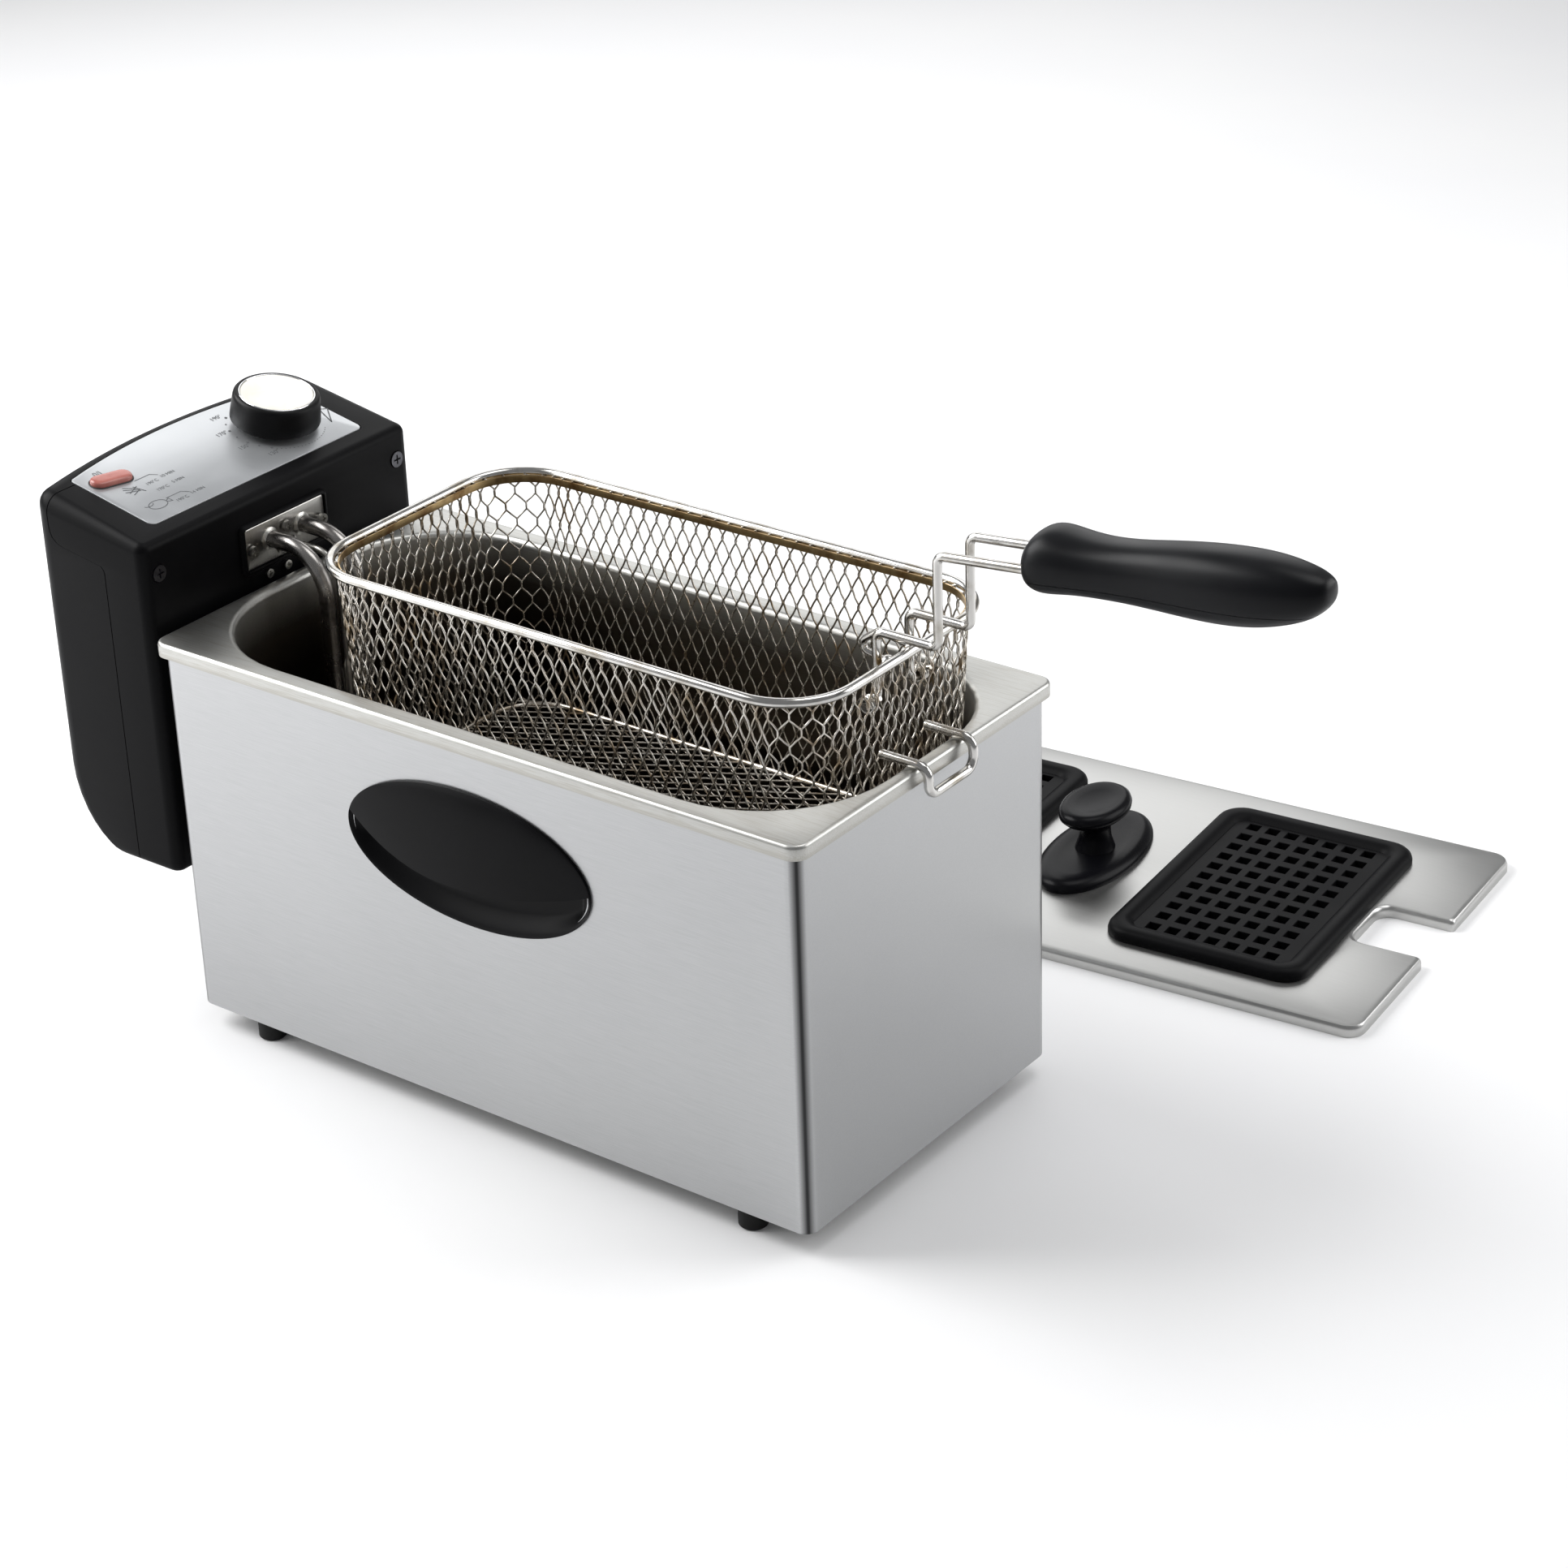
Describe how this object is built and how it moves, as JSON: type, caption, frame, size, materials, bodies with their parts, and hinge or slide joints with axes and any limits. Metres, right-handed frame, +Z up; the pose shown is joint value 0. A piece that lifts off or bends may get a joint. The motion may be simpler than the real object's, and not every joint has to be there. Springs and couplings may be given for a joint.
{
  "type": "deep fryer",
  "caption": "Electric deep fryer: steel housing and lift-out oil tank, lift-off control head with heating element, hooked wire basket with fold-in handle, vented lid.",
  "frame": {"origin": "point on the table under the middle of the housing, level with the undersides of the four feet", "axes": "+X along the housing towards the basket handle, +Y across the housing towards the side where the lid lies, +Z up"},
  "size_m": [0.5629, 0.4293, 0.292],
  "materials": {
    "brushed_stainless": "satin",
    "black_plastic": "satin",
    "silver_panel": "satin",
    "chrome_wire": "polished",
    "dark_element": "satin",
    "cream_plastic": "matte",
    "red_lens": "translucent gloss",
    "ceramic_tan": "matte",
    "lead_red": "matte",
    "filter_mat": "matte",
    "zinc_plate": "dull"
  },
  "bodies": {
    "housing": {"housing": "brushed_stainless", "base_plate": "zinc_plate", "foot_1": "black_plastic", "foot_2": "black_plastic", "foot_3": "black_plastic", "foot_4": "black_plastic", "foot_screws": "chrome_wire", "side_handle_front": "black_plastic", "side_handle_rear": "black_plastic", "guide_rail": "brushed_stainless", "guide_rail_screws": "chrome_wire"},
    "tank": {"tank": "brushed_stainless"},
    "control_head": {"head_front_shell": "black_plastic", "head_rear_shell": "black_plastic", "shell_screws": "chrome_wire", "top_panel": "silver_panel", "element_plate": "brushed_stainless", "element_plate_screws": "chrome_wire", "heating_element": "dark_element", "element_terminals": "zinc_plate", "heat_shield": "zinc_plate", "probe_bracket": "zinc_plate", "thermostat_body": "ceramic_tan", "thermostat_probe": "chrome_wire", "thermal_cutout": "ceramic_tan", "cutout_probe": "chrome_wire", "lid_off_switch": "black_plastic", "power_switch": "black_plastic", "terminal_block": "ceramic_tan", "internal_leads": "lead_red", "cord_gland": "black_plastic"},
    "knob": {"thermostat_shaft": "zinc_plate", "thermostat_knob": "black_plastic", "knob_ring": "chrome_wire", "knob_insert": "cream_plastic"},
    "button": {"power_button": "red_lens"},
    "basket": {"basket_rim": "chrome_wire", "basket_mesh": "chrome_wire", "basket_hook": "chrome_wire", "handle_eyelets": "chrome_wire", "handle_rest": "chrome_wire"},
    "basket_handle": {"handle_wire_front": "chrome_wire", "handle_wire_rear": "chrome_wire", "grip_upper": "black_plastic", "grip_lower": "black_plastic", "grip_screw": "chrome_wire"},
    "lid": {"lid_panel": "brushed_stainless", "lid_grille_1": "black_plastic", "lid_grille_2": "black_plastic", "grille_filter_1": "filter_mat", "grille_filter_2": "filter_mat", "filter_clamp_1": "zinc_plate", "filter_clamp_2": "zinc_plate", "lid_knob_base": "black_plastic", "lid_knob": "black_plastic", "lid_knob_screw": "chrome_wire"}
  },
  "joints": [
    {"name": "tank_lift", "type": "slide", "parent": "housing", "child": "tank", "axis": [0, 0, 1], "range_m": [0, 0.15]},
    {"name": "head_lift", "type": "slide", "parent": "tank", "child": "control_head", "axis": [0, 0, 1], "range_m": [0, 0.165]},
    {"name": "knob_turn", "type": "hinge", "parent": "control_head", "child": "knob", "pos_m": [-0.2025, 0.036, 0.2226], "axis": [0.1961, 0, 0.9806], "range_deg": [0, 249]},
    {"name": "button_press", "type": "slide", "parent": "control_head", "child": "button", "axis": [-0.1961, 0, -0.9806], "range_m": [0, 0.002], "stiffness_N_per_m": 600},
    {"name": "basket_lift", "type": "slide", "parent": "control_head", "child": "basket", "axis": [0, 0, 1], "range_m": [0, 0.1]},
    {"name": "handle_fold", "type": "hinge", "parent": "basket", "child": "basket_handle", "pos_m": [0.1415, 0.0055, 0.2], "axis": [0, -1, 0], "range_deg": [0, 175]},
    {"name": "lid_pick_up", "type": "slide", "parent": "housing", "child": "lid", "axis": [0, 0, 1], "range_m": [0, 0.2]}
  ]
}
